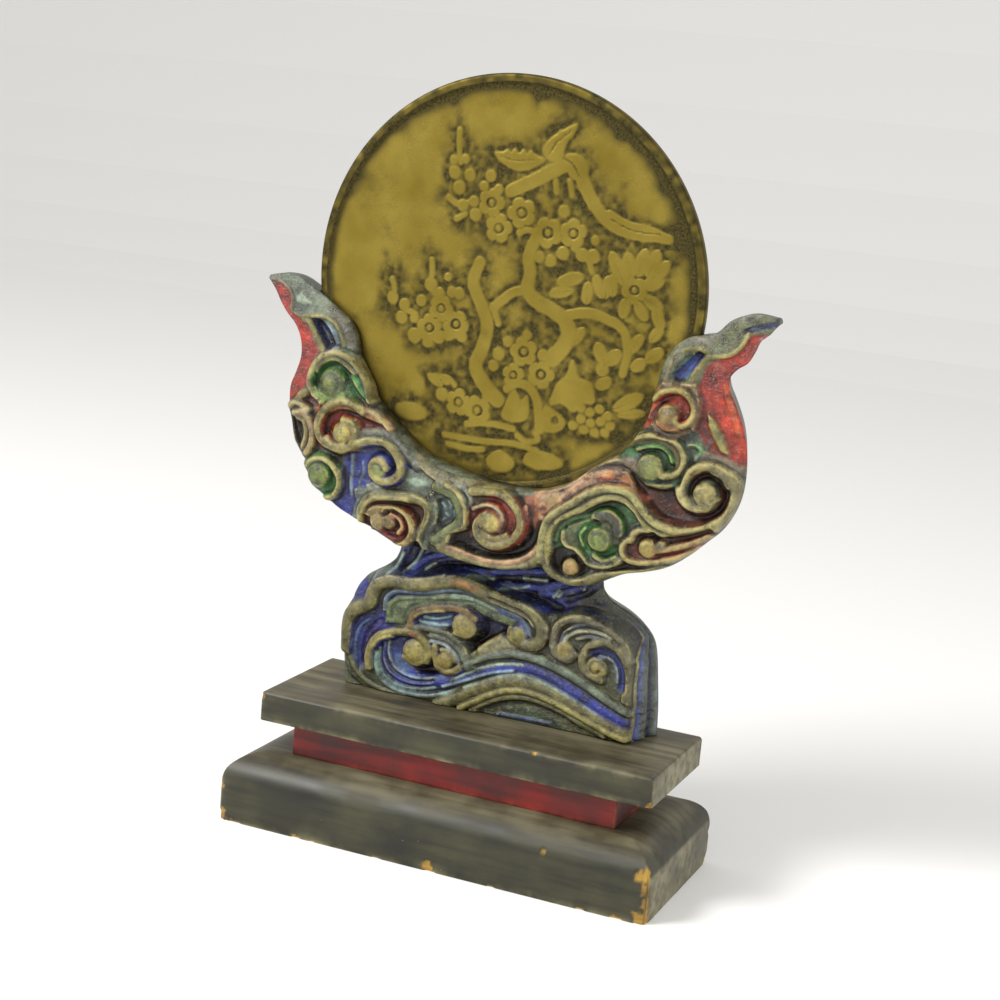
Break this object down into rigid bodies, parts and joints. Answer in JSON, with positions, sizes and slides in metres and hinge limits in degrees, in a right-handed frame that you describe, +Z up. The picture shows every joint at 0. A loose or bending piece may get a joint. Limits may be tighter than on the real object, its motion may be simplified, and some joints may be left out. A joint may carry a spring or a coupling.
{
  "type": "bronze mirror on a carved stand",
  "caption": "Round cast bronze mirror with a plum-tree and bird relief, held upright in a carved, painted stand of scrolled clouds and waves on stepped boards.",
  "frame": {"origin": "middle of the underside of the bottom board, on the surface it stands on", "axes": "+Z up, +X to the right seen from the front, the relief faces -Y"},
  "size_m": [0.2234, 0.081, 0.3236],
  "materials": {
    "bronze": "satin cast bronze with olive patina in the hollows",
    "painted_wood": "carved wood, painted olive gold, green, red and blue, worn gloss",
    "dark_lacquer": "worn dark lacquer, satin",
    "red_lacquer": "dull red lacquer"
  },
  "bodies": {
    "root": {"mirror": "bronze", "cloud_and_wave_carving": "painted_wood", "top_board": "dark_lacquer", "waist": "red_lacquer", "bottom_board": "dark_lacquer"}
  },
  "joints": []
}
